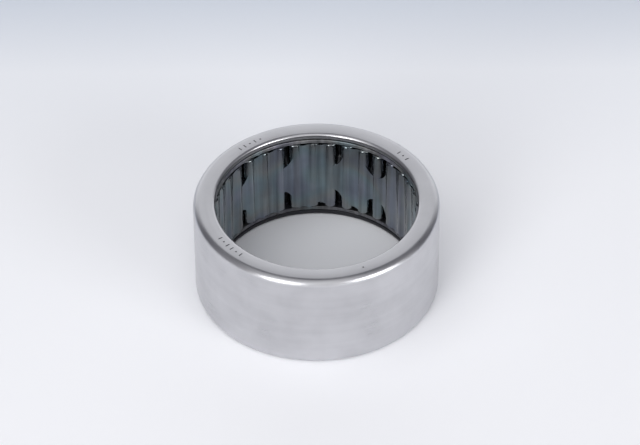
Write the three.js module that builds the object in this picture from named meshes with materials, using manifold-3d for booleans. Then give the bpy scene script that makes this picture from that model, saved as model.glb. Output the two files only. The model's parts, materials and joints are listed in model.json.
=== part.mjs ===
// Drawn-cup needle roller bearing, open at both ends.
//
// A pressed steel cup with both rims turned in holds a pressed cage and one row of
// needle rollers. The shaft runs directly on the rollers, and the cup is pressed
// into a housing. Millimetres, +Z up along the bearing's axis, with the origin at
// the centre of the lower face.

import * as THREE from "three";
import { mergeVertices } from "three/addons/utils/BufferGeometryUtils.js";
import Module from "manifold-3d";

// ---- Driving sizes: 1 5/8 in shaft, 7/8 in wide, which gives a 2 in outside ----
const shaftDiameter = 41.275;
const bearingWidth = 22.225;
const rollerCount = 37;
const firstRollerAngle = 4.4; // degrees from +X to the middle of the first roller

// The cup
const cupWall = 1.5575;
const lipThickness = 1.2;
const lipToShaft = 0.26;
const outerCornerRadius = 1.2;
const lipEdgeRadius = 0.3;

// The cage
const cageSheet = 0.7;
const cageRim = 0.85;
const waistLength = 5.6; // middle stretch of a bar, which lies inside the pitch circle
const slantLength = 1.6; // stretch that joins the waist to each outer end of a bar

// The rollers
const rollerEndChamfer = 0.4;

// ---- Clearances ----
const rollerToRoller = 0.5946; // between neighbours, on the pitch circle
const rollerToRaceway = 0.03;
const rollerEndPlay = 0.2;
const pocketClearance = 0.1;
const cageToShaft = 0.31;
const cageToRaceway = 0.3;
const cageToLowerLip = 0.1;
const cageToUpperLip = 0.4;

// ---- How finely the round shapes are divided ----
const cupFacets = 3 * rollerCount;
const cageFacets = rollerCount; // an edge at each roller, so every bar is flat
const rollerFacets = 16;
const pocketFacets = 16;
const outerCornerSteps = 3;
const lipEdgeSteps = 2;

// ---- Sizes that follow from the ones above ----
// Neighbouring rollers stand a chord apart, and their inner sides touch the shaft.
const halfPitchAngle = Math.PI / rollerCount;
const chordShare = Math.sin(halfPitchAngle);
const rollerDiameter = (shaftDiameter * chordShare - rollerToRoller) / (1 - chordShare);
const rollerRadius = rollerDiameter / 2;
const shaftRadius = shaftDiameter / 2;
const pitchRadius = shaftRadius + rollerRadius;
const racewayRadius = pitchRadius + rollerRadius + rollerToRaceway;
const cupRadius = racewayRadius + cupWall;
const lipRadius = shaftRadius + lipToShaft;

const cageInner = shaftRadius + cageToShaft;
const cageOuter = racewayRadius - cageToRaceway;
const cageBottom = lipThickness + cageToLowerLip;
const cageTop = bearingWidth - lipThickness - cageToUpperLip;
const cageMiddle = (cageBottom + cageTop) / 2;
const pocketBottom = cageBottom + cageRim;
const pocketTop = cageTop - cageRim;
const pocketRadius = rollerRadius + pocketClearance;
const rollerBottom = pocketBottom + rollerEndPlay / 2;
const rollerLength = pocketTop - pocketBottom - rollerEndPlay;

// ---- Materials ----
const cupSteel = new THREE.MeshStandardMaterial({
  color: 0xb8b9be,
  roughness: 0.38,
  metalness: 0.9,
});
const cageSteel = new THREE.MeshStandardMaterial({
  color: 0x5e666b,
  roughness: 0.45,
  metalness: 0.85,
});
const rollerSteel = new THREE.MeshStandardMaterial({
  color: 0x87919a,
  roughness: 0.18,
  metalness: 0.95,
});

// Points of a quarter circle in a lathe profile, anticlockwise from an angle in degrees.
function corner(centreR, centreZ, radius, from, steps) {
  const points = [];
  for (let step = 0; step <= steps; step += 1) {
    const angle = THREE.MathUtils.degToRad(from + (90 * step) / steps);
    const r = centreR + radius * Math.cos(angle);
    const z = centreZ + radius * Math.sin(angle);
    points.push(new THREE.Vector2(r, z));
  }
  return points;
}

// A profile of radius and height, turned about Z.
function turned(profile, facets) {
  const geometry = new THREE.LatheGeometry(profile, facets);
  geometry.rotateX(Math.PI / 2);
  return geometry;
}

// ---- The cup: one pressed shell, with a lip at each end ----
function drawnCup() {
  const round = outerCornerRadius;
  const edge = lipEdgeRadius;
  const wallR = cupRadius - round;
  const edgeR = lipRadius + edge;
  const upperLip = bearingWidth - lipThickness;
  const profile = [
    ...corner(wallR, round, round, -90, outerCornerSteps),
    ...corner(wallR, bearingWidth - round, round, 0, outerCornerSteps),
    ...corner(edgeR, bearingWidth - edge, edge, 90, lipEdgeSteps),
    new THREE.Vector2(lipRadius, upperLip),
    new THREE.Vector2(racewayRadius, upperLip),
    new THREE.Vector2(racewayRadius, lipThickness),
    new THREE.Vector2(lipRadius, lipThickness),
    ...corner(edgeR, edge, edge, 180, lipEdgeSteps),
  ];
  profile.push(profile[0].clone());
  return turned(profile, cupFacets);
}

// ---- The cage: a waisted ring of sheet, with a pocket punched for each roller ----
function cageProfile() {
  const innerFace = cageInner + cageSheet;
  const outerFace = cageOuter - cageSheet;
  const lowWaist = cageMiddle - waistLength / 2;
  const highWaist = cageMiddle + waistLength / 2;
  const lowSlant = lowWaist - slantLength;
  const highSlant = highWaist + slantLength;
  const outline = [
    [cageInner, cageBottom],
    [cageOuter, cageBottom],
    [cageOuter, lowSlant],
    [innerFace, lowWaist],
    [innerFace, highWaist],
    [cageOuter, highSlant],
    [cageOuter, cageTop],
    [cageInner, cageTop],
    [cageInner, pocketTop],
    [outerFace, pocketTop],
    [outerFace, highSlant],
    [cageInner, highWaist],
    [cageInner, lowWaist],
    [outerFace, lowSlant],
    [outerFace, pocketBottom],
    [cageInner, pocketBottom],
    [cageInner, cageBottom],
  ];
  return outline.map(([r, z]) => new THREE.Vector2(r, z));
}

function pocketCutter(angle) {
  const height = pocketTop - pocketBottom;
  const cutter = new THREE.CylinderGeometry(pocketRadius, pocketRadius, height, pocketFacets);
  cutter.rotateX(Math.PI / 2);
  cutter.translate(pitchRadius, 0, cageMiddle);
  cutter.rotateZ(angle);
  return cutter;
}

// ---- A needle roller: a plain cylinder with chamfered ends, standing at the origin ----
function needleRoller() {
  const half = rollerLength / 2;
  const profile = [
    new THREE.Vector2(0, -half),
    new THREE.Vector2(rollerRadius - rollerEndChamfer, -half),
    new THREE.Vector2(rollerRadius, rollerEndChamfer - half),
    new THREE.Vector2(rollerRadius, half - rollerEndChamfer),
    new THREE.Vector2(rollerRadius - rollerEndChamfer, half),
    new THREE.Vector2(0, half),
  ];
  return turned(profile, rollerFacets);
}

// ---- Joining and cutting ----
const wasm = await Module();
wasm.setup();

function toSolid(geometry) {
  const bare = geometry.clone();
  bare.deleteAttribute("normal");
  bare.deleteAttribute("uv");
  const merged = mergeVertices(bare);
  const vertProperties = new Float32Array(merged.attributes.position.array);
  const triVerts = new Uint32Array(merged.index.array);
  return new wasm.Manifold(new wasm.Mesh({ numProp: 3, vertProperties, triVerts }));
}

function toGeometry(solid) {
  const mesh = solid.getMesh();
  const geometry = new THREE.BufferGeometry();
  geometry.setAttribute("position", new THREE.BufferAttribute(mesh.vertProperties, 3));
  geometry.setIndex(new THREE.BufferAttribute(mesh.triVerts, 1));
  geometry.computeVertexNormals();
  return geometry;
}

// ---- Assembly ----
const rollerAngles = [];
for (let index = 0; index < rollerCount; index += 1) {
  const first = THREE.MathUtils.degToRad(firstRollerAngle);
  rollerAngles.push(first + 2 * halfPitchAngle * index);
}

function rollerCage() {
  const ring = turned(cageProfile(), cageFacets);
  ring.rotateZ(rollerAngles[0]);
  let solid = toSolid(ring);
  for (const angle of rollerAngles) {
    solid = solid.subtract(toSolid(pocketCutter(angle)));
  }
  return toGeometry(solid);
}

function named(name, geometry, material) {
  const mesh = new THREE.Mesh(geometry, material);
  mesh.name = name;
  return mesh;
}

const bearing = new THREE.Group();
bearing.add(named("drawn_cup", drawnCup(), cupSteel));
bearing.add(named("roller_cage", rollerCage(), cageSteel));

rollerAngles.forEach((angle, index) => {
  const number = String(index + 1).padStart(2, "0");
  const roller = named(`needle_roller_${number}`, needleRoller(), rollerSteel);
  const x = pitchRadius * Math.cos(angle);
  const y = pitchRadius * Math.sin(angle);
  roller.position.set(x, y, rollerBottom + rollerLength / 2);
  roller.rotation.z = angle;
  bearing.add(roller);
});

export default bearing;
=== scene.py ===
# %% [markdown]
# # A drawn-cup needle roller bearing
#
# This lesson builds the visible skin of a needle roller bearing around its measured
# frame. The frame holds plain, faceted solids: one pressed cup, one pressed cage and
# 37 needle rollers. Each is replaced here by a finely made piece of the same size in
# the same place. Everything is in metres, and +Z is the bearing's axis.

# %% Load the frame
import json
import math

import bmesh
import bpy
from mathutils import Matrix, Vector


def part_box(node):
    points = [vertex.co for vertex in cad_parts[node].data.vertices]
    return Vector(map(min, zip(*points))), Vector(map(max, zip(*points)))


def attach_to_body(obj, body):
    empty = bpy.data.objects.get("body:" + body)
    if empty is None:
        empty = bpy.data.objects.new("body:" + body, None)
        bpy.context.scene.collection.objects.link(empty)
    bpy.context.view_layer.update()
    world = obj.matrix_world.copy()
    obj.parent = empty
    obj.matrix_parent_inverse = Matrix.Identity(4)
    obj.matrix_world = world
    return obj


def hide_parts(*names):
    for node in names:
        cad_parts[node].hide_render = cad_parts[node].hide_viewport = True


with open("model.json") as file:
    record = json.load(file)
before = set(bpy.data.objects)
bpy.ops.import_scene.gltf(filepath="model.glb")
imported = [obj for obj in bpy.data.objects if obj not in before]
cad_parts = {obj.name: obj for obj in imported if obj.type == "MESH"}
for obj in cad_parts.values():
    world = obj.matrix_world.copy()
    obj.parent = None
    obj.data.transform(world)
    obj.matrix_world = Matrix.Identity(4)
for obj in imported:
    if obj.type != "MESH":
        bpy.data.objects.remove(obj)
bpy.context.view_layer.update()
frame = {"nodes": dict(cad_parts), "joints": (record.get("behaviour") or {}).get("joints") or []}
bpy.ops.object.select_all(action="DESELECT")

# %% [markdown]
# ## Read the sizes from the frame
#
# Sizes could be typed in again, but then they could disagree with the frame. It is
# safer to measure the frame's own solids. A solid's box gives a radius and a height.
# A joint of the record gives each roller's centre, and so the pitch circle.

# %% Sizes of the cup, the cage and the rollers
MM = 0.001
cup_low, cup_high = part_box("drawn_cup")
cage_low, cage_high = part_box("roller_cage")
roller_low, roller_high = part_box("needle_roller_01")
cup_radius = min(-cup_low.x, -cup_low.y, cup_high.x, cup_high.y)
cup_width = cup_high.z - cup_low.z
cage_bottom = cage_low.z
cage_top = cage_high.z
cage_middle = (cage_bottom + cage_top) / 2
roller_length = roller_high.z - roller_low.z
roller_joints = [j for j in frame["joints"] if j["name"] != "cage_spin"]
roller_places = [Vector(j["pos_m"]) for j in roller_joints]
roller_count = len(roller_places)
pitch_radius = roller_places[0].xy.length
roller_corners = frame["nodes"]["needle_roller_01"].data.vertices
roller_radius = max((v.co.xy - roller_places[0].xy).length for v in roller_corners)
raceway_clearance = 0.03 * MM
raceway_radius = pitch_radius + roller_radius + raceway_clearance
pitch_angle = 2 * math.pi / roller_count
first_angle = math.atan2(roller_places[0].y, roller_places[0].x)
print("cup", cup_radius, cup_width, "rollers", roller_count, "on", pitch_radius)

# %% [markdown]
# ## Helpers for working in edit mode
#
# By hand, faces and edges are picked with the mouse. In a script they are picked by
# where they are. `pick` selects what passes a test on its middle point. An operator
# then acts on that selection, as it would after a click.

# %% Helpers for picking and naming
def start_edit():
    """Enters edit mode on the active piece, with all of it selected."""
    bpy.ops.object.mode_set(mode="EDIT")
    bpy.ops.mesh.select_all(action="SELECT")


def end_edit():
    bpy.ops.object.mode_set(mode="OBJECT")


def pick(kind, test):
    """Selects the vertices, edges or faces whose middle point passes the test."""
    bpy.ops.mesh.select_mode(type=kind)
    bpy.ops.mesh.select_all(action="DESELECT")
    mesh = bmesh.from_edit_mesh(bpy.context.object.data)
    items = {"VERT": mesh.verts, "EDGE": mesh.edges, "FACE": mesh.faces}[kind]
    picked = 0
    for item in items:
        corners = [item.co] if kind == "VERT" else [v.co for v in item.verts]
        if test(sum(corners, Vector()) / len(corners)):
            item.select_set(True)
            picked += 1
    mesh.select_flush_mode()
    bmesh.update_edit_mesh(bpy.context.object.data)
    return picked


def near(value, wanted, within=0.01 * MM):
    return abs(value - wanted) < within


def name_piece(name):
    """Names the active piece and its mesh."""
    piece = bpy.context.object
    piece.name = name
    piece.data.name = name
    return piece


def apply_place():
    bpy.ops.object.transform_apply(location=True, rotation=True, scale=True)


def apply_modifiers(piece):
    bpy.context.view_layer.objects.active = piece
    for modifier in list(piece.modifiers):
        bpy.ops.object.modifier_apply(modifier=modifier.name)


def tell(piece):
    sides = [round(side / MM, 3) for side in piece.dimensions]
    print(piece.name, len(piece.data.polygons), "faces, size in mm", sides)

# %% [markdown]
# ## Helpers for a turned section
#
# The cup and the cage have the same section all the way round. Each could start as
# a cylinder with insets, but a slice through the wall is easier to shape. A flat
# rectangle is cut, its edges are pulled out, and its corners are rounded. Spinning
# its outline round Z then closes it into a ring.

# %% Helpers for a section
def add_section(name, inner, outer, bottom, top):
    """A flat rectangle in the XZ plane, in edit mode."""
    bpy.ops.mesh.primitive_plane_add(size=1, rotation=(math.pi / 2, 0, 0))
    apply_place()
    piece = name_piece(name)
    start_edit()
    bpy.ops.transform.resize(value=(outer - inner, 1, top - bottom))
    middle = ((outer + inner) / 2, 0, (top + bottom) / 2)
    bpy.ops.transform.translate(value=middle)
    return piece


def cut_section(height):
    """Splits the section's faces and edges with a level line."""
    bpy.ops.mesh.select_all(action="SELECT")
    bpy.ops.mesh.bisect(plane_co=(0, 0, height), plane_no=(0, 0, 1))


def pull(move):
    """Extrudes the selected edges by a move along X and Z."""
    value = (move[0], 0, move[1])
    bpy.ops.mesh.extrude_region_move(TRANSFORM_OT_translate={"value": value})


def merge_section():
    """Makes the section one face, with a point only at each real corner."""
    bpy.ops.mesh.select_mode(type="FACE")
    bpy.ops.mesh.select_all(action="SELECT")
    bpy.ops.mesh.dissolve_faces()
    bpy.ops.mesh.dissolve_limited(angle_limit=math.radians(1))


def round_corners(radius, segments, test):
    """Rounds the section's corners that pass the test."""
    found = pick("VERT", test)
    bpy.ops.mesh.bevel(
        offset=radius, segments=segments, profile=0.5, affect="VERTICES"
    )
    print("  rounded", found, "corners to", round(radius / MM, 2), "mm")


def spin_section(steps):
    """Turns the section's outline round Z into a closed ring."""
    bpy.ops.mesh.select_all(action="SELECT")
    bpy.ops.mesh.delete(type="ONLY_FACE")
    bpy.ops.mesh.select_mode(type="EDGE")
    bpy.ops.mesh.select_all(action="SELECT")
    bpy.ops.mesh.spin(steps=steps, angle=2 * math.pi, center=(0, 0, 0), axis=(0, 0, 1))
    bpy.ops.mesh.select_all(action="SELECT")
    bpy.ops.mesh.remove_doubles(threshold=0.001 * MM)
    bpy.ops.mesh.normals_make_consistent(inside=False)
    end_edit()

# %% [markdown]
# ## The drawn cup
#
# The cup is steel strip about 1.5 mm thick, drawn into a tube with both rims turned
# in. The lips are pulled out of the wall's inner edge, as the press folds them. The
# outer corners are large and the lip edges small, and their roundness matters: a
# polished corner gathers the light of the whole room into one thin line.

# %% Shape the cup's section
lip_thickness = 1.2 * MM
lip_radius = 20.8975 * MM
outer_corner = 1.4 * MM
lip_edge = 0.6 * MM
lip_under_edge = 0.15 * MM
inner_fillet = 0.35 * MM
ring_steps = 6 * roller_count

cup = add_section("cup_shell", raceway_radius, cup_radius, 0, cup_width)
upper_lip = cup_width - lip_thickness
cut_section(lip_thickness)
cut_section(upper_lip)
pick("EDGE", lambda p: near(p.x, raceway_radius) and not lip_thickness < p.z < upper_lip)
pull((lip_radius - raceway_radius, 0))
merge_section()


def at_cup_end(point):
    return near(point.z, 0) or near(point.z, cup_width)


round_corners(outer_corner, 12, lambda p: near(p.x, cup_radius))
round_corners(inner_fillet, 4, lambda p: near(p.x, raceway_radius))
round_corners(lip_edge, 8, lambda p: near(p.x, lip_radius) and at_cup_end(p))
round_corners(lip_under_edge, 3, lambda p: near(p.x, lip_radius) and (
    near(p.z, lip_thickness) or near(p.z, upper_lip)))
spin_section(ring_steps)
tell(cup)

# %% [markdown]
# ## Marks stamped in the upper face
#
# A bearing is stamped with small marks on its end face. Here they are plain dots and
# dashes that say nothing. They could be painted by the material, but a real stamp is
# a dent. So small cutters are laid round the face and taken out of it by a boolean.
# Each group has the angle it starts at, in degrees, and its marks in order.

# %% Stamp the upper face
stamp_radius = 22.75 * MM
stamp_depth = 0.12 * MM
stamp_step = math.radians(3.3)
dot_radius = 0.2 * MM
dash_length = 0.95 * MM
dash_width = 0.24 * MM
dash_corner = 0.08 * MM
cutter_height = 1 * MM
stamp_groups = [(-149, "-.--.-"), (121, ".-.--"), (34, "-.-"), (-66, ".")]


def add_cutter(mark):
    """A cylinder for a dot, or a block with rounded corners for a dash."""
    if mark == ".":
        bpy.ops.mesh.primitive_cylinder_add(
            vertices=16, radius=dot_radius, depth=cutter_height
        )
    else:
        bpy.ops.mesh.primitive_cube_add(size=1)
        bpy.context.object.scale = (dash_length, dash_width, cutter_height)
        apply_place()
        start_edit()
        pick("EDGE", lambda p: near(p.z, 0))
        bpy.ops.mesh.bevel(offset=dash_corner, segments=3, affect="EDGES")
        end_edit()
    return bpy.context.object


def lay_cutters():
    """One cutter for each mark, sunk into the upper face by the stamp's depth."""
    cutters = []
    for start, marks in stamp_groups:
        for index, mark in enumerate(marks):
            angle = math.radians(start) + index * stamp_step
            cutter = add_cutter(mark)
            cutter.location = (
                stamp_radius * math.cos(angle),
                stamp_radius * math.sin(angle),
                cup_width + cutter_height / 2 - stamp_depth,
            )
            cutter.rotation_euler.z = angle
            cutters.append(cutter)
    return cutters


def join_pieces(pieces, name):
    """Joins pieces into one, which takes the name."""
    bpy.ops.object.select_all(action="DESELECT")
    for piece in pieces:
        piece.select_set(True)
    bpy.context.view_layer.objects.active = pieces[0]
    bpy.ops.object.join()
    apply_place()
    return name_piece(name)


def cut_away(piece, cutter):
    """Takes the cutter's shape out of the piece, and removes the cutter."""
    cut = piece.modifiers.new("cut", "BOOLEAN")
    cut.operation = "DIFFERENCE"
    cut.solver = "EXACT"
    cut.object = cutter
    apply_modifiers(piece)
    bpy.data.objects.remove(cutter)


cut_away(cup, join_pieces(lay_cutters(), "stamp_cutters"))
tell(cup)

# %% [markdown]
# ## The cage
#
# The cage spaces the rollers. Its strip is pressed into a waisted section: the ends of
# each bar lie outside the rollers' centres and the middle lies inside, so a roller
# can fall neither in nor out. The section starts as the lower end and is pulled up,
# in, up, out and up again. The two rims are pulled inwards last.

# %% Shape the cage's section
cage_sheet = 0.7 * MM
cage_rim = 0.85 * MM
cage_inner = 20.9475 * MM
cage_outer = 23.5425 * MM
waist = 5.6 * MM
slant = 1.6 * MM
bend = 0.55 * MM
rim_edge = 0.16 * MM
cage_wall = cage_outer - cage_sheet
waist_step = cage_wall - cage_inner
end_length = (cage_top - cage_bottom - waist) / 2 - slant

cage = add_section(
    "cage_ring", cage_wall, cage_outer, cage_bottom, cage_bottom + end_length
)
pick("EDGE", lambda p: near(p.z, cage_bottom + end_length))
for move in ((-waist_step, slant), (0, waist), (waist_step, slant), (0, end_length)):
    pull(move)
cut_section(cage_bottom + cage_rim)
cut_section(cage_top - cage_rim)
pick("EDGE", lambda p: near(p.x, cage_wall)
     and not cage_bottom + cage_rim < p.z < cage_top - cage_rim)
pull((-waist_step, 0))
merge_section()


def on_rim(point):
    return min(point.z - cage_bottom, cage_top - point.z) < 1.1 * cage_rim


round_corners(bend, 5, lambda p: not on_rim(p))
round_corners(rim_edge, 4, lambda p: on_rim(p) and near(p.x, cage_inner))
round_corners(bend, 5, lambda p: on_rim(p) and near(p.x, cage_outer))
spin_section(ring_steps)
cage.rotation_euler.z = first_angle
apply_place()
tell(cage)

# %% [markdown]
# ## Punch the pockets
#
# A pocket is punched for each roller. Its sides follow the roller with a tenth of a
# millimetre to spare, so the cutter is a cylinder a little larger than a roller. One
# cutter is made, copied round the pitch circle and joined, and a single boolean
# punches all the pockets at once.

# %% Cut one pocket for each roller
pocket_clearance = 0.1 * MM
pocket_radius = roller_radius + pocket_clearance
pocket_length = cage_top - cage_bottom - 2 * cage_rim


def copy_piece(piece, name, place):
    """A copy with its own mesh, moved by a matrix."""
    twin = piece.copy()
    twin.data = piece.data.copy()
    twin.name = name
    twin.data.name = name
    twin.data.transform(place)
    bpy.context.scene.collection.objects.link(twin)
    return twin


bpy.ops.mesh.primitive_cylinder_add(
    vertices=40, radius=pocket_radius, depth=pocket_length,
    location=(pitch_radius, 0, cage_middle),
)
apply_place()
punch = name_piece("punch")
punches = []
for index in range(roller_count):
    turn = Matrix.Rotation(first_angle + index * pitch_angle, 4, "Z")
    punches.append(copy_piece(punch, f"punch_{index + 1:02d}", turn))
bpy.data.objects.remove(punch)
cut_away(cage, join_pieces(punches, "punches"))
tell(cage)

# %% [markdown]
# ## The needle rollers
#
# A needle roller is a hardened pin, ground smooth, with rounded ends. One is made from
# a cylinder whose end edges are bevelled. Its end faces are inset and pushed in a
# little, which leaves the faint ring of a ground end. It is then copied into every
# pocket, and each copy rides on its own body, so that it can roll.

# %% Make one roller and copy it
end_round = 0.42 * MM
end_inset = 0.35 * MM
end_sink = 0.05 * MM
bpy.ops.mesh.primitive_cylinder_add(
    vertices=48, radius=roller_radius, depth=roller_length
)
roller = name_piece("needle")
half_length = roller_length / 2
start_edit()
pick("EDGE", lambda p: near(abs(p.z), half_length) and p.xy.length > 0.9 * roller_radius)
bpy.ops.mesh.bevel(offset=end_round, segments=6, profile=0.5, affect="EDGES")
for side in (-1, 1):
    pick("FACE", lambda p: near(p.z, side * half_length) and p.xy.length < 0.1 * MM)
    bpy.ops.mesh.inset(thickness=end_inset)
    bpy.ops.transform.translate(value=(0, 0, -side * end_sink))
end_edit()
tell(roller)

rollers = []
for joint, place in zip(roller_joints, roller_places):
    body = joint["child"]
    angle = math.atan2(place.y, place.x)
    twin = copy_piece(roller, "ground_" + body,
                      Matrix.Translation(place) @ Matrix.Rotation(angle, 4, "Z"))
    rollers.append((twin, body))
bpy.data.objects.remove(roller)
print(len(rollers), "rollers placed")

# %% [markdown]
# ## Films of oil between the rollers
#
# A new bearing is packed with oil, which bridges most of the gaps between rollers. The
# oil pulls itself into a hollow skin, so a bridge is a slice of a tube that touches
# both rollers and bulges outwards, away from the shaft. One slice is cut from a
# cylinder and given a little thickness. A full film reaches both ends of its rollers.
# A leaning film keeps to one roller at its ends and crosses over to the other only
# at the cage's waist, which leaves two dark slots with one curved side each. Both
# patterns are copied into the gaps that hold oil, and two gaps stay bare.

# %% Make the oil films and join them
film_radius = 4.2 * MM
film_sink = 0.04 * MM
film_thickness = 0.25 * MM
pattern_length = 14 * MM
full_dip = 0.35 * MM
full_lean = 0.35 * MM
leaning_dip = 5.2 * MM
bare_gaps = (21, 33)
leaning_gaps = (1, 5, 6, 8, 11, 14, 18, 22, 26, 30, 37)
flipped_gaps = (1, 6, 26, 37)
notched_gaps = (7, 9, 16, 20, 24, 28, 32, 35)
half_gap = pitch_angle / 2
roller_off = pitch_radius * math.sin(half_gap)
centre_reach = math.sqrt((film_radius + roller_radius - film_sink) ** 2 - roller_off ** 2)
film_centre = pitch_radius * math.cos(half_gap) - centre_reach
film_half_width = film_radius * roller_off / (film_radius + roller_radius)


def add_film_pattern(dip, lean, reach, falloff):
    """A hollow skin of oil on the +X axis, its ends drawn in by the dip at the lean."""
    bpy.ops.mesh.primitive_cylinder_add(
        vertices=180, radius=film_radius, depth=pattern_length,
        end_fill_type="NOTHING", location=(film_centre, 0, 0),
    )
    apply_place()
    film = name_piece("film")
    start_edit()
    pick("FACE", lambda p: p.x < film_centre or abs(p.y) > film_half_width)
    bpy.ops.mesh.delete(type="FACE")
    for side in (-1, 1):
        pick("VERT", lambda p: abs(p.y - lean) < 0.1 * MM and p.z * side > 0)
        bpy.ops.transform.translate(
            value=(0, 0, -side * dip), use_proportional_edit=True,
            proportional_edit_falloff=falloff, proportional_size=reach,
        )
    end_edit()
    skin = film.modifiers.new("skin", "SOLIDIFY")
    skin.thickness = film_thickness
    skin.offset = 1
    apply_modifiers(film)
    return film


def film_ends(gap):
    """Where a film starts and stops, as shares of the roller's length."""
    if gap in leaning_gaps:
        return 0.0, 0.97
    if gap in notched_gaps:
        return 0.05, 1.0
    return -0.01, 1.0


full_pattern = add_film_pattern(full_dip, full_lean, film_half_width, "SMOOTH")
leaning_pattern = add_film_pattern(
    leaning_dip, film_half_width, 2 * film_half_width, "SPHERE"
)
films = []
for gap in range(1, roller_count + 1):
    if gap in bare_gaps:
        continue
    pattern = leaning_pattern if gap in leaning_gaps else full_pattern
    low, high = film_ends(gap)
    turn = Matrix.Rotation(first_angle + (gap - 0.5) * pitch_angle, 4, "Z")
    if gap in flipped_gaps:
        turn = turn @ Matrix.Rotation(math.pi, 4, "X")
    lift = roller_low.z + low * roller_length + pattern_length / 2
    place = Matrix.Translation((0, 0, lift)) @ turn
    film = copy_piece(pattern, f"film_{gap:02d}", place)
    bpy.context.view_layer.objects.active = film
    start_edit()
    pick("VERT", lambda p: p.z > lift)
    stretch = (high - low) * roller_length - pattern_length
    bpy.ops.transform.translate(value=(0, 0, stretch))
    end_edit()
    films.append(film)
bpy.data.objects.remove(full_pattern)
bpy.data.objects.remove(leaning_pattern)
oil = join_pieces(films, "oil_film")
tell(oil)

# %% [markdown]
# ## Smooth the turned faces
#
# Each face is flat, but shading can hide that. Smoothing by angle blends faces that
# meet gently, such as the steps of a turned wall, and keeps real edges sharp.

# %% Shade the pieces
smooth_angle = math.radians(32)
pieces = [cup, cage, oil] + [piece for piece, body in rollers]
bpy.ops.object.select_all(action="DESELECT")
for piece in pieces:
    piece.select_set(True)
bpy.context.view_layer.objects.active = cup
bpy.ops.object.shade_smooth_by_angle(angle=smooth_angle)
bpy.ops.object.select_all(action="DESELECT")

# %% [markdown]
# ## Materials: a small helper
#
# Every finish here is steel or oil, so they share a start: one Principled shader with
# its even values set on its own sockets. Detail is then added as a pattern for the
# colour, the roughness or the bump. A bearing is round, so the patterns are often
# placed by how far a point is from the axis and how high it is.

# %% Helpers for materials
def new_finish(name, **values):
    material = bpy.data.materials.new(name)
    material.use_nodes = True
    tree = material.node_tree
    shader = tree.nodes["Principled BSDF"]
    for socket, value in values.items():
        shader.inputs[socket.replace("_", " ")].default_value = value
    return material, tree, shader


def add_node(tree, kind, settings=None, **links):
    """Adds a node; each link names an input socket by number and what feeds it."""
    node = tree.nodes.new(kind)
    for key, value in (settings or {}).items():
        setattr(node, key, value)
    for key, source in links.items():
        socket = node.inputs[int(key[1:])]
        if isinstance(source, bpy.types.NodeSocket):
            tree.links.new(source, socket)
        else:
            socket.default_value = source
    return node


def math_node(tree, operation, first, second=0.0):
    return add_node(tree, "ShaderNodeMath", {"operation": operation},
                    i0=first, i1=second).outputs[0]


def step_between(tree, value, low, high):
    """0 below low, 1 above high and a ramp between them."""
    return add_node(tree, "ShaderNodeMapRange", i0=value, i1=low, i2=high).outputs[0]


def object_place(tree):
    """The X, Y and Z of a point on the piece."""
    place = add_node(tree, "ShaderNodeTexCoord").outputs["Object"]
    return add_node(tree, "ShaderNodeSeparateXYZ", i0=place).outputs


def radius_and_height(tree):
    """How far a point is from the bearing's axis, and how high."""
    x, y, height = object_place(tree)
    square = math_node(tree, "ADD", math_node(tree, "MULTIPLY", x, x),
                       math_node(tree, "MULTIPLY", y, y))
    return math_node(tree, "SQRT", square), height


def turned_vector(tree, along, across):
    """A vector that changes slowly round the bearing and fast across its surface."""
    x, y, _ = object_place(tree)
    radius, height = radius_and_height(tree)
    depth = math_node(tree, "ADD", radius, height)
    return add_node(tree, "ShaderNodeCombineXYZ",
                    i0=math_node(tree, "MULTIPLY", x, along),
                    i1=math_node(tree, "MULTIPLY", y, along),
                    i2=math_node(tree, "MULTIPLY", depth, across)).outputs[0]


def noise(tree, vector, scale, detail=3.0):
    node = add_node(tree, "ShaderNodeTexNoise", i0=vector)
    node.inputs["Scale"].default_value = scale
    node.inputs["Detail"].default_value = detail
    return node.outputs["Fac"]


def ramp(tree, factor, stops):
    """A colour ramp; each stop is a position and a grey or an RGB colour."""
    node = tree.nodes.new("ShaderNodeValToRGB")
    tree.links.new(factor, node.inputs[0])
    elements = node.color_ramp.elements
    while len(elements) < len(stops):
        elements.new(0.5)
    for element, (position, tone) in zip(elements, stops):
        element.position = position
        rgb = tone if isinstance(tone, tuple) else (tone, tone, tone)
        element.color = (*rgb, 1.0)
    return node.outputs[0]


def mix_tones(tree, factor, first, second):
    node = add_node(tree, "ShaderNodeMix", {"data_type": "RGBA"}, i0=factor)
    for socket, tone in ((node.inputs[6], first), (node.inputs[7], second)):
        if isinstance(tone, bpy.types.NodeSocket):
            tree.links.new(tone, socket)
        else:
            socket.default_value = (*tone, 1.0)
    return node.outputs[2]


def multiply_tones(tree, first, second):
    node = add_node(tree, "ShaderNodeMix", {"data_type": "RGBA", "blend_type": "MULTIPLY"},
                    i0=1.0, i6=first, i7=second)
    return node.outputs[2]


def add_bump(tree, shader, height, distance):
    bump = tree.nodes.new("ShaderNodeBump")
    bump.inputs["Distance"].default_value = distance
    tree.links.new(height, bump.inputs["Height"])
    tree.links.new(bump.outputs[0], shader.inputs["Normal"])
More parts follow.
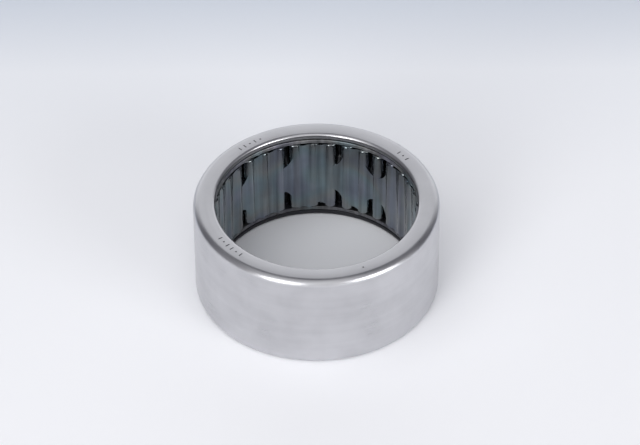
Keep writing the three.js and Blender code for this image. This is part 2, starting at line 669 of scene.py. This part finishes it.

# %% [markdown]
# ## The cup's satin steel
#
# The cup is ground all over, which leaves very fine lines that run round it. A noise
# that changes slowly round the bearing and fast across it draws such lines. The same
# lines vary the roughness, so that highlights break up along them, and a much larger
# noise adds the faint cloudiness of steel that has been handled. Shade is painted into
# the colour: the lower lip's bore side, which lies in shadow at the floor, is painted
# near black, the bottoms of the stamped marks are painted darker as shade in the dents,
# and the upper lip's inner edge is darkened by less.

# %% Cup finish
def painted_lip_shade(tree, radius, height):
    """Painted shade: 1 on the lower lip's bore side, shaded at the floor; 0.45 on the upper
    lip's edge.
    """
    past_edge = step_between(tree, radius, lip_radius + 0.01 * MM, lip_radius + 0.07 * MM)
    past_lip = step_between(tree, radius, lip_radius + 0.3 * MM, lip_radius + 0.5 * MM)
    low_end = step_between(tree, height, 2.0 * MM, 1.5 * MM)
    lower = math_node(tree, "MULTIPLY", low_end, math_node(tree, "SUBTRACT", 1.0, past_lip))
    upper = math_node(tree, "MULTIPLY", math_node(tree, "SUBTRACT", 1.0, past_edge), 0.45)
    return math_node(tree, "MAXIMUM", upper, lower)


def painted_mark_shade(tree, radius, height):
    """Painted shade at the bottoms of the stamped marks, as much as 0.6."""
    sunk = step_between(tree, height, cup_width - 0.02 * MM, cup_width - 0.06 * MM)
    shallow = step_between(tree, height, cup_width - 0.2 * MM, cup_width - 0.15 * MM)
    beside = math_node(tree, "ABSOLUTE", math_node(tree, "SUBTRACT", radius, stamp_radius))
    band = step_between(tree, beside, 0.7 * MM, 0.6 * MM)
    marks = math_node(tree, "MULTIPLY", math_node(tree, "MULTIPLY", sunk, shallow), band)
    return math_node(tree, "MULTIPLY", marks, 0.6)


# Painted shade on the lips' bore sides and at the bottoms of the stamped marks.
def painted_shade_parts(tree):
    radius, height = radius_and_height(tree)
    edges = painted_lip_shade(tree, radius, height)
    return math_node(tree, "MAXIMUM", edges, painted_mark_shade(tree, radius, height))


def satin_steel():
    material, tree, shader = new_finish("satin_steel", Metallic=1.0)
    lines = noise(tree, turned_vector(tree, 60.0, 9000.0), 1.0, 4.0)
    bands = noise(tree, turned_vector(tree, 30.0, 900.0), 1.0, 2.0)
    place = add_node(tree, "ShaderNodeTexCoord").outputs["Object"]
    clouds = noise(tree, place, 140.0, 3.0)
    tone = math_node(tree, "ADD", math_node(tree, "MULTIPLY", clouds, 0.75),
                     math_node(tree, "MULTIPLY", bands, 0.25))
    colour = ramp(tree, tone, [(0.36, (0.53, 0.53, 0.55)), (0.62, (0.605, 0.605, 0.625))])
    # Painted shade: the colour is mixed towards near black on the lips' bore sides and in the
    # stamped marks.
    shaded_steel = mix_tones(tree, painted_shade_parts(tree), colour, (0.05, 0.05, 0.055))
    tree.links.new(shaded_steel, shader.inputs["Base Color"])
    grain = math_node(tree, "ADD", math_node(tree, "MULTIPLY", lines, 0.5),
                      math_node(tree, "MULTIPLY", clouds, 0.5))
    rough = ramp(tree, grain, [(0.3, 0.26), (0.7, 0.36)])
    tree.links.new(rough, shader.inputs["Roughness"])
    add_bump(tree, shader, lines, 0.0000015)
    return material


# %% [markdown]
# ## The oiled steel inside
#
# The cage and the rollers are steel under a film of oil. The film is a clear coat on
# the shader, and it is what makes the rollers look wet. Oil also tints the steel a
# little, so the colour drifts between slate and a greener grey along each roller.
# Shade is painted into the cage's colour: it is darkened deep behind the rollers,
# across its waist and on its lower rim.

# %% Cage, roller and oil finishes
rim_start = 8.7 * MM
rim_fade = 0.2 * MM
low_rim_top = 2.5 * MM


def paint_cage_shade(tree, colour):
    """Painted shade: darkens the cage deep behind the rollers, across its waist and on its lower
    rim.
    """
    radius, height = radius_and_height(tree)
    deep = step_between(tree, radius, cage_inner + 0.02 * MM, cage_inner + 0.3 * MM)
    above = math_node(tree, "ABSOLUTE", math_node(tree, "SUBTRACT", height, cage_middle))
    between_rims = step_between(tree, above, rim_start, rim_start - rim_fade)
    deep = math_node(tree, "MULTIPLY", deep, between_rims)
    low_rim = step_between(tree, height, low_rim_top, low_rim_top - rim_fade)
    waist_shade = math_node(tree, "MULTIPLY", between_rims, 0.75)
    low_shade = math_node(tree, "MULTIPLY", low_rim, 0.5)
    deep = math_node(tree, "MAXIMUM", deep, waist_shade)
    deep = math_node(tree, "MAXIMUM", deep, low_shade)
    # Painted shade: the cage's colour is mixed towards near black.
    return mix_tones(tree, deep, colour, (0.03, 0.032, 0.035))


def oiled_steel(name, dark, light, low_rough, high_rough, spread, coat=0.5, paint_shade=None):
    """Steel under oil; dark and light are its tones, and spread sets their size."""
    material, tree, shader = new_finish(
        name, Metallic=1.0, Coat_Weight=coat, Coat_Roughness=0.08
    )
    place = add_node(tree, "ShaderNodeTexCoord").outputs["Object"]
    drift = noise(tree, place, spread, 2.0)
    colour = ramp(tree, drift, [(0.32, dark), (0.68, light)])
    hue = noise(tree, place, 90.0, 1.0)
    tint = ramp(tree, hue, [(0.36, (0.92, 0.90, 1.0)), (0.46, (1.0, 0.97, 0.93)),
                            (0.54, (0.86, 1.0, 1.02)), (0.64, (0.94, 0.95, 1.08))])
    colour = multiply_tones(tree, colour, tint)
    parts = add_node(tree, "ShaderNodeSeparateXYZ", i0=place).outputs
    upright = add_node(tree, "ShaderNodeCombineXYZ", i0=parts[0], i1=parts[1],
                       i2=math_node(tree, "MULTIPLY", parts[2], 0.04)).outputs[0]
    streaks = ramp(tree, noise(tree, upright, 900.0, 3.0), [(0.32, 0.70), (0.66, 1.18)])
    colour = multiply_tones(tree, colour, streaks)
    # Painted shade, when given, as on the cage.
    if paint_shade:
        colour = paint_shade(tree, colour)
    tree.links.new(colour, shader.inputs["Base Color"])
    smear = noise(tree, place, spread * 6, 4.0)
    rough = ramp(tree, smear, [(0.3, low_rough), (0.7, high_rough)])
    tree.links.new(rough, shader.inputs["Roughness"])
    add_bump(tree, shader, smear, 0.000004)
    return material


cup_finish = satin_steel()
cage_finish = oiled_steel("oiled_cage_steel", (0.26, 0.27, 0.28), (0.38, 0.39, 0.41),
                          0.42, 0.55, 260.0, 0.15, paint_cage_shade)
roller_finish = oiled_steel("ground_roller_steel", (0.16, 0.175, 0.195),
                            (0.23, 0.255, 0.265), 0.08, 0.20, 160.0)
oil_finish = oiled_steel("oil_bridge", (0.135, 0.155, 0.18), (0.20, 0.235, 0.25),
                         0.08, 0.18, 160.0)

# %% [markdown]
# ## Attach the pieces
#
# Each piece takes its finish and rides on the body it moves with. A piece that stands
# for a solid of the frame hides that solid. The oil moves with the cage.

# %% Ride and replace
def attach(piece, finish, body, node=None):
    piece.data.materials.clear()
    piece.data.materials.append(finish)
    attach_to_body(piece, body)
    if node:
        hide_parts(node)


attach(cup, cup_finish, "cup", "drawn_cup")
attach(cage, cage_finish, "cage", "roller_cage")
attach(oil, oil_finish, "cage")
for piece, body in rollers:
    attach(piece, roller_finish, body, "needle_" + body)

# %% [markdown]
# ## The floor and the studio light
#
# Polished steel shows its surroundings more than itself, so the floor matters twice:
# it is the ground, and it is mirrored in the cup's side. It is pale and plain, and a
# little bluer and darker far behind the bearing, which is painted shade where the
# light falls off. It lies a hair below the cup, so that the two surfaces don't share
# a plane.

# %% Floor
floor_size = 6.0
floor_drop = 0.02 * MM


def floor_finish():
    """Matt grey from the front, at -Y, to the back, where it is darker and bluer as painted
    shade.
    """
    material, tree, shader = new_finish("pale_floor", Roughness=0.75)
    place = add_node(tree, "ShaderNodeTexCoord").outputs["Object"]
    depth = add_node(tree, "ShaderNodeSeparateXYZ", i0=place).outputs[1]
    fade = add_node(tree, "ShaderNodeMapRange", i0=depth, i1=-0.05, i2=0.10).outputs[0]
    colour = ramp(tree, fade, [
        (0.0, (0.90, 0.905, 0.93)), (0.55, (0.91, 0.92, 0.95)),
        (0.8, (0.88, 0.90, 0.94)), (1.0, (0.65, 0.70, 0.78)),
    ])
    tree.links.new(colour, shader.inputs["Base Color"])
    return material


bpy.ops.mesh.primitive_plane_add(size=floor_size, location=(0, 0, -floor_drop))
floor = name_piece("floor")
floor.data.materials.append(floor_finish())

# %% [markdown]
# ## The room and its softboxes
#
# The light is set by what the steel should mirror: a bright room far behind, a grey one
# in front, a dark one between them, and one softbox on each side of the camera for the
# two highlights on the front corner. A wide box overhead softens the shadow. The last
# one lights the floor but is hidden from reflections, so it leaves the steel as it was.

# %% Room and softboxes
def light_room():
    """A world whose grey depends on the direction, from the front, at -Y, to the back."""
    world = bpy.data.worlds.new("studio")
    bpy.context.scene.world = world
    world.use_nodes = True
    tree = world.node_tree
    direction = add_node(tree, "ShaderNodeTexCoord").outputs["Generated"]
    backwards = add_node(tree, "ShaderNodeSeparateXYZ", i0=direction).outputs[1]
    fade = add_node(tree, "ShaderNodeMapRange", i0=backwards, i1=-1.0, i2=1.0).outputs[0]
    colour = ramp(tree, fade, [
        (0.0, (0.62, 0.62, 0.64)), (0.12, (0.60, 0.60, 0.62)), (0.30, (0.34, 0.34, 0.36)),
        (0.50, (0.24, 0.24, 0.26)), (0.64, (0.15, 0.15, 0.17)), (0.79, (0.15, 0.15, 0.17)),
        (0.84, (0.44, 0.45, 0.47)),
        (0.875, (1.08, 1.09, 1.12)), (1.0, (0.98, 0.99, 1.03)),
    ])
    tree.links.new(colour, tree.nodes["Background"].inputs[0])
    tree.nodes["Background"].inputs[1].default_value = 1.0


def add_softbox(name, azimuth, elevation, distance, width, height, radiance):
    """A softbox that faces the bearing. Azimuth 0 is in front, at -Y, towards +X."""
    across, up = math.radians(azimuth), math.radians(elevation)
    place = distance * Vector((
        math.sin(across) * math.cos(up), -math.cos(across) * math.cos(up), math.sin(up)
    ))
    light = bpy.data.lights.new(name, "AREA")
    light.shape = "RECTANGLE"
    light.size = width
    light.size_y = height
    light.energy = radiance * math.pi * width * height
    box = bpy.data.objects.new(name, light)
    box.location = place
    box.rotation_euler = (-place).to_track_quat("-Z", "Y").to_euler()
    bpy.context.scene.collection.objects.link(box)
    print(name, "watts", round(light.energy, 2))
    return box


light_room()
add_softbox("softbox_left", -30, 20, 0.9, 0.36, 0.50, 5.6)
add_softbox("softbox_right", 49, 13, 0.9, 0.44, 0.50, 5.6)
add_softbox("softbox_top", -20, 66, 1.1, 1.2, 1.2, 0.36)
fill = add_softbox("fill_top", -45, 66, 1.2, 1.3, 1.3, 1.05)
fill.visible_glossy = False

# %% [markdown]
# ## The camera
#
# A long lens far away keeps the ellipses of the rims nearly alike. The camera stands
# in front, 42.3 degrees up, and looks a little past the bearing's middle.

# %% Camera
camera_height_angle = math.radians(42.3)
camera_distance = 689 * MM
camera_roll = math.radians(-0.34)
look_at = Vector((0.70, 8.08, 8.87)) * MM
camera_data = bpy.data.cameras.new("camera")
camera_data.sensor_width = 36
camera_data.lens = 184.8
camera_data.clip_start = 0.05
camera_data.clip_end = 20
camera = bpy.data.objects.new("camera", camera_data)
bpy.context.scene.collection.objects.link(camera)
camera.location = camera_distance * Vector(
    (0, -math.cos(camera_height_angle), math.sin(camera_height_angle))
)
aim = (look_at - camera.location).to_track_quat("-Z", "Y").to_matrix().to_4x4()
turn = aim @ Matrix.Rotation(camera_roll, 4, "Z")
camera.rotation_euler = turn.to_euler()
bpy.context.scene.camera = camera
bpy.context.scene.view_settings.view_transform = "Standard"
